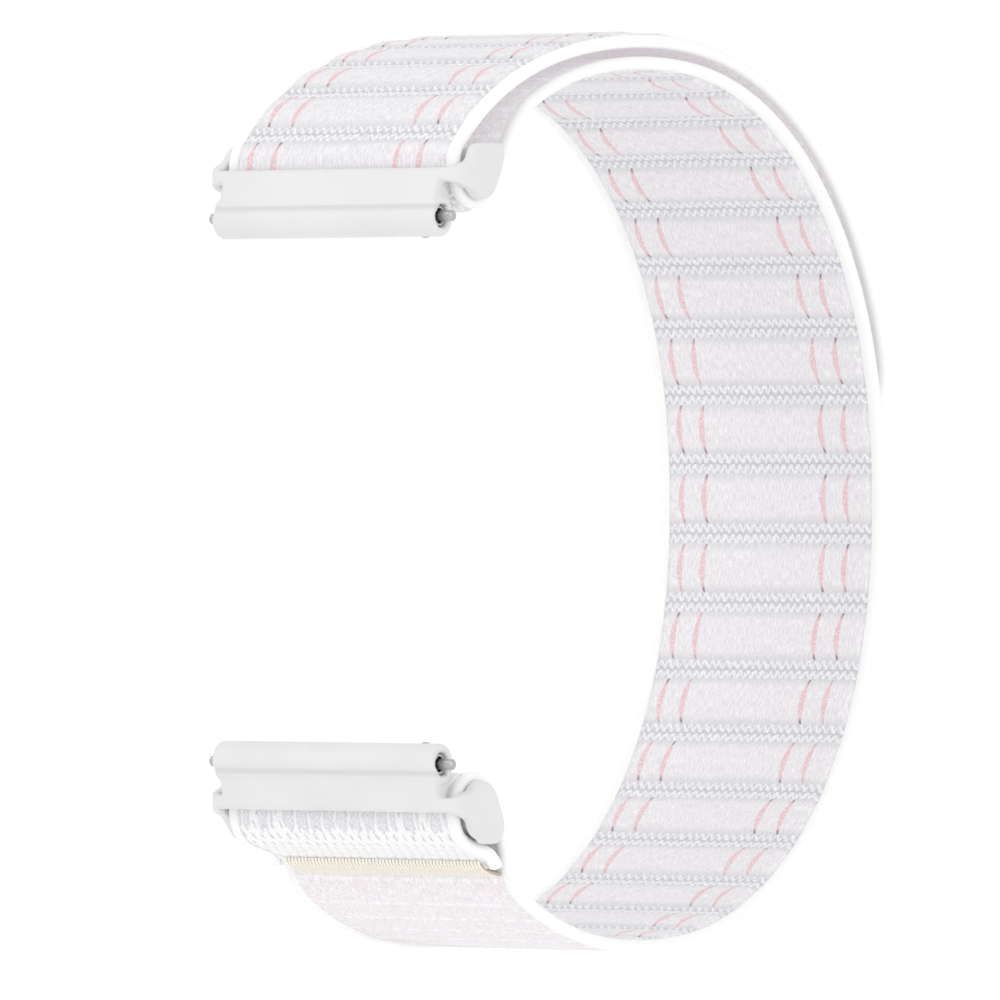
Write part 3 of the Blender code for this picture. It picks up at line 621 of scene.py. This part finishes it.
# The free end: the webbing beyond the upper bar, with its ribs outside. On the real strap it peels off the
# loop face and bends where it leaves the slot; here it is one fixed piece, laid along the line.
peel_half, lift_half = 1.8, 2.2                 # of the webbing to each side of a hinge place
tip_hinge = rib_start - fold_draw + pitch * math.ceil(
    (marks["tip_end"] - pad_margin - pad_length - pitch - rib_start + fold_draw) / pitch)
tip_split = tip_hinge - pitch
peel_hinge = rib_start - fold_draw + pitch * math.ceil((marks["free_fold"] - rib_start + fold_draw) / pitch)


def spot(place):
    y, z = on_line(place)
    return (0.0, float(y) * MM, float(z) * MM)


free = webbing("free_webbing", upper_split, tip_split, 0.0)
dress(free, webbing_finish, "webbing", "free_end")
spot(peel_hinge - peel_half)
spot(peel_hinge + peel_half)
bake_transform(free)

# The free tip: the last stretch of the webbing, with a rounded end, which the wearer lifts to open the strap.
tip = webbing("tip_webbing", tip_split, marks["tip_end"], 0.0, rounded_end=True)
dress(tip, webbing_finish, "webbing", "free_tip")
spot(tip_hinge - lift_half)
spot(tip_hinge + lift_half)
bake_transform(tip)

# The adapters: one moulding each, of satin plastic, with softly rounded edges. Each cheek swells beside the
# strap, and a soft crease runs between the neck and the slot's front, with painted shade along it.
swells_of_end = ((-1, 1.45, -24.9, 23.9), (1, 1.65, -25.6, 24.4))      # the end, its swell's radius, y, z
swell_x, swell_width, swell_rim = 11.125, 1.15, 0.5
cheek_tops = ((1, "upper", 25.85), (-1, "lower", 26.4))
cheek_round = 0.4               # of a cheek's flattened top
skin_voxel, skin_passes = 0.14, 8
plastic = Finish("satin_moulding", 0.42)
place = plastic.node("ShaderNodeTexCoord", {}, {}, "Object")
grain = plastic.noise(place, 9000.0, 2.0)
cloud = plastic.noise(place, 220.0, 2.0)
depth, height = [plastic.node("ShaderNodeSeparateXYZ", {}, [place], out) / MM for out in (1, 2)]
crease_front, crease_z, crease_depth = -28.3, 20.95, 0.2
crease_half = 0.32
# Painted shade: a darker band along the crease, on the front of each adapter
crease_shade = (height.math("ABSOLUTE") - crease_z - 0.1).math("ABSOLUTE").between(0.05, 0.35, 1.0, 0.0)
crease_shade = crease_shade * depth.between(crease_front - 0.2, crease_front, 1.0, 0.0)
moulded = plastic.mix(cloud.between(0.3, 0.7), shade(224, 224, 224), shade(228, 228, 228))
plastic.set(Base_Color=plastic.mix(crease_shade, moulded, shade(213, 213, 213)))
plastic.set(Roughness=grain.between(0.3, 0.7, 0.38, 0.46))
plastic.bump(grain, 0.006)


def merged_copy(node, name):
    """A copy of a CAD node's mesh, whose loose triangles are merged."""
    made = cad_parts[node].copy()
    made.data = made.data.copy()
    made.parent = None
    made.name = made.data.name = name
    bpy.context.scene.collection.objects.link(made)
    bpy.ops.object.select_all(action="DESELECT")
    made.select_set(True)
    bpy.context.view_layer.objects.active = made
    bpy.ops.object.mode_set(mode="EDIT")
    bpy.ops.mesh.select_all(action="SELECT")
    bpy.ops.mesh.remove_doubles(threshold=1e-6)
    bpy.ops.object.mode_set(mode="OBJECT")
    return made


for side, name, cheek_top in cheek_tops:
    body = merged_copy(name + "_adapter_body", name + "_adapter_moulding")
    swells = []
    for end, radius, y, z in swells_of_end:
        bpy.ops.mesh.primitive_cylinder_add(
            vertices=48, radius=radius * MM, depth=swell_width * MM, rotation=(0, math.pi / 2, 0),
            location=(end * swell_x * MM, y * MM, side * z * MM))
        swell = bpy.context.active_object
        rim = swell.modifiers.new("rim", "BEVEL")
        rim.width = swell_rim * MM
        rim.segments = 4
        bpy.ops.object.modifier_apply(modifier=rim.name)
        swells.append(swell)
    body = joined(name + "_adapter_moulding", [body, *swells])
    skin = body.modifiers.new("skin", "REMESH")
    skin.mode = "VOXEL"
    skin.voxel_size = skin_voxel * MM
    bpy.ops.object.modifier_apply(modifier=skin.name)
    soften = body.modifiers.new("soften", "SMOOTH")
    soften.factor = 0.5
    soften.iterations = skin_passes
    bpy.ops.object.modifier_apply(modifier=soften.name)
    for point in body.data.vertices:
        high = abs(point.co.z) / MM
        if point.co.y < crease_front * MM:
            point.co.y += crease_depth * MM * math.exp(-((high - crease_z) / crease_half) ** 2)
        past = (high - cheek_top + cheek_round) / cheek_round
        if past > 0:
            point.co.z = side * (cheek_top - cheek_round + cheek_round * math.tanh(past)) * MM
    bpy.ops.object.shade_smooth()
    dress(body, plastic.material, "adapter_moulding", name + "_adapter_body")
    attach(body, name + "_adapter")

# The hook pad: hook tape under the free tip, a thin backing with rows of small bent hooks that face the
# loops.
hook_row, hook_step = 1.45, 1.3
hook_columns = 13
hook_start, hook_margin = 1.0, 1.6
hook_wire = 0.07
hook_outline = ((0, -0.75), (0, -1.0), (0.03, -1.2), (0.12, -1.36), (0.26, -1.41), (0.38, -1.34),
                (0.43, -1.2), (0.42, -1.12))     # along the strap, and over the free tip's middle line
pad_last = marks["tip_end"] - pad_margin
pad_first = pad_last - pad_length
pad_half, pad_corner = 8.3, 5.5
backing_top, backing_low = -0.4, -0.76           # over the free tip's middle line


def inside_pad(x, place, margin):
    """Whether a spot of the pad lies so far inside its edge, whose two corners at the tip are round."""
    a, b = abs(x) - (pad_half - pad_corner), place - (pad_last - pad_corner)
    if a > 0 and b > 0 and math.hypot(a, b) > pad_corner - margin:
        return False
    return abs(x) <= pad_half - margin and pad_first + margin <= place <= pad_last - margin


bpy.ops.object.select_all(action="DESELECT")
bpy.ops.mesh.primitive_grid_add(x_subdivisions=24, y_subdivisions=40, size=2)
backing = bpy.context.active_object
for point in backing.data.vertices:
    x, place = point.co.x * pad_half, pad_first + (point.co.y + 1) / 2 * pad_length
    a, b = (abs(x) - (pad_half - pad_corner)) / pad_corner, (place - (pad_last - pad_corner)) / pad_corner
    if a > 0 and b > 0:
        x = math.copysign(pad_half - pad_corner + pad_corner * a * math.sqrt(1 - b * b / 2), x)
        place = pad_last - pad_corner + pad_corner * b * math.sqrt(1 - a * a / 2)
    y, z = on_line(place, backing_top)
    point.co = (x * MM, y * MM, z * MM)
thickness = backing.modifiers.new("thickness", "SOLIDIFY")
thickness.thickness = (backing_top - backing_low) * MM
thickness.offset = 1.0
bpy.ops.object.modifier_apply(modifier=thickness.name)
close_up(backing)
hooks = []
for i in range(round(pad_length / hook_row)):
    for j in range(hook_columns):
        place, x = pad_first + hook_start + i * hook_row, (j - hook_columns // 2) * hook_step
        if not inside_pad(x, place, hook_margin):
            continue
        lean = 1 if (i + j) % 2 else -1
        path = []
        for along, height in hook_outline:
            y, z = on_line(place + lean * along, height)
            path.append((x, y, z))
        hooks.append(path)
pad = joined("hook_tape", [backing, tubes("hooks", hooks, hook_wire, 6)])
tape = Finish("hook_tape", 0.45)
place = tape.node("ShaderNodeTexCoord", {}, {}, "Object")
cells = tape.noise(place, 2500.0, 2.0)
tape.set(Base_Color=tape.mix(cells.between(0.3, 0.7), shade(224, 224, 225), shade(243, 243, 244)))
tape.bump(cells, 0.03)
dress(pad, tape.material, "hook_tape", "hook_pad")
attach(pad, "free_tip_flap")

# The thread that sews the pad down: a running stitch just inside its edge, through the backing and the
# webbing.
stitch_long, stitch_gap, seam_inset = 1.25, 0.45, 0.85
seam_start, seam_radius = 0.3, 0.11
stitch_faces = ((backing_low - 0.03, backing_top + 0.1), (crown + 0.05, crown - 0.35))  # each high and low
seam_corner = pad_corner - seam_inset
seam = [(pad_half - seam_inset, pad_first + seam_inset), (pad_half - seam_inset, pad_last - pad_corner)]
seam += [(pad_half - pad_corner + seam_corner * math.cos(turn),
          pad_last - pad_corner + seam_corner * math.sin(turn))
         for turn in np.linspace(0, math.pi / 2, 24)[1:]]
seam = [(-seam[0][0], seam[0][1]), *seam]
seam += [(-x, place) for x, place in reversed(seam[1:])]
seam = np.array(seam)
seam_reach = lengths_of(seam)
seam_threads = []
start = seam_start
while start + stitch_long < seam_reach[-1]:
    for high, low in stitch_faces:
        path = []
        for share in np.linspace(0, 1, 7):
            along = start + share * stitch_long
            x = float(np.interp(along, seam_reach, seam[:, 0]))
            place = float(np.interp(along, seam_reach, seam[:, 1]))
            height = low + (high - low) * math.sin(math.pi * share) ** 0.5 if 0 < share < 1 else low
            y, z = on_line(place, height)
            path.append((x, y, z))
        seam_threads.append(path)
    start += stitch_long + stitch_gap
pad_seam = tubes("pad_seam", seam_threads, seam_radius, 7)
pad_seam.data.materials.append(thread_finish("white_thread", shade(222, 222, 222), shade(250, 250, 249)))
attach(pad_seam, "free_tip_flap")

# The spring bars: tubes, pins, plungers and knobs of turned steel. Their CAD solids stay as they are, and
# only get the material.
steel = Finish("turned_steel", 0.3, metallic=1.0)
place = steel.node("ShaderNodeTexCoord", {}, {}, "Object")
turning = steel.noise(place, 8000.0)
steel.set(Base_Color=steel.mix(turning, shade(170, 170, 172), shade(205, 205, 206)))
steel.set(Roughness=turning.between(0.3, 0.7, 0.22, 0.4))
for name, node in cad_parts.items():
    if "spring_bar" in name or "release_knob" in name:
        node.material_slots[0].material = steel.material

# The coil springs of wound steel wire. Each pushes its plunger out, and is squeezed as the knob draws it in;
# here each is a merged copy of its CAD solid, left in that shape.
for name in ("upper", "lower"):
    coil = merged_copy(name + "_spring_bar_spring", name + "_coil_spring")
    corners = [Vector(corner) for corner in coil.bound_box]
    start, end = min(corners, key=lambda corner: corner.x), max(corners, key=lambda corner: corner.x)
    dress(coil, steel.material, "spring_bar_steel", name + "_spring_bar_spring")
    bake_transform(coil)

# The view, the floor and the light: a level camera with a long lens, a floor that stays white, white all
# round, and two soft lamps in front.
view_turn = math.radians(33)
far = 935 * MM                  # from the camera to the point that it looks at
look_y = -6.5 * MM
focal_length, picture_width = 12276.6, 1000     # in pixels
sensor_width = 36
light_world, white_world = 0.93, 1.0            # as a light, and as the camera sees it
floor_size, floor_drop = 8, 0.02 * MM
floor_glow, glow_share = 1.06, 0.9
lamps = (("key", (-0.35, -0.8, 0.75), 0.5, 1.4), ("fill", (0.9, -0.5, 0.3), 0.8, 1.2))  # place, size, watts
bpy.ops.object.camera_add(location=(far * math.sin(view_turn), look_y - far * math.cos(view_turn), 0.0),
                          rotation=(math.pi / 2, 0.0, view_turn))
camera = bpy.context.active_object
camera.data.sensor_width = sensor_width
camera.data.lens = focal_length / picture_width * sensor_width
camera.data.shift_x = 0.005
camera.data.shift_y = -0.010
camera.data.clip_start = 0.05
camera.data.clip_end = 20
scene = bpy.context.scene
scene.camera = camera
scene.view_settings.view_transform = "Standard"

world = bpy.data.worlds.new("studio")
scene.world = world
world.use_nodes = True
sky = world.node_tree.nodes["Background"]
sky.inputs["Color"].default_value = (1, 1, 1, 1)
path = world.node_tree.nodes.new("ShaderNodeLightPath")
strength = world.node_tree.nodes.new("ShaderNodeMapRange")
strength.inputs["To Min"].default_value = light_world
strength.inputs["To Max"].default_value = white_world
world.node_tree.links.new(path.outputs["Is Camera Ray"], strength.inputs["Value"])
world.node_tree.links.new(strength.outputs["Result"], sky.inputs["Strength"])

bpy.ops.object.select_all(action="DESELECT")
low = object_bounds()[0].z
bpy.ops.mesh.primitive_plane_add(size=floor_size, location=(0, 0, low - floor_drop))
floor = bpy.context.active_object
floor.name = "floor"
paper = Finish("paper", 0.9)
paper.set(Base_Color=(0.9, 0.9, 0.9, 1.0))
glow = paper.node("ShaderNodeEmission", {}, {"Color": (1, 1, 1, 1), "Strength": floor_glow})
lit = Value(paper, paper.shader.outputs[0])
ground = paper.node("ShaderNodeMixShader", {}, [glow_share, lit, glow])
paper.put(paper.tree.nodes["Material Output"].inputs["Surface"], ground)
floor.data.materials.append(paper.material)

for name, place, size, power in lamps:
    bpy.ops.object.light_add(type="AREA", location=place)
    lamp = bpy.context.active_object
    lamp.name = name
    lamp.data.size = size
    lamp.data.energy = power
    lamp.rotation_euler = (-Vector(place)).to_track_quat("-Z", "Y").to_euler()
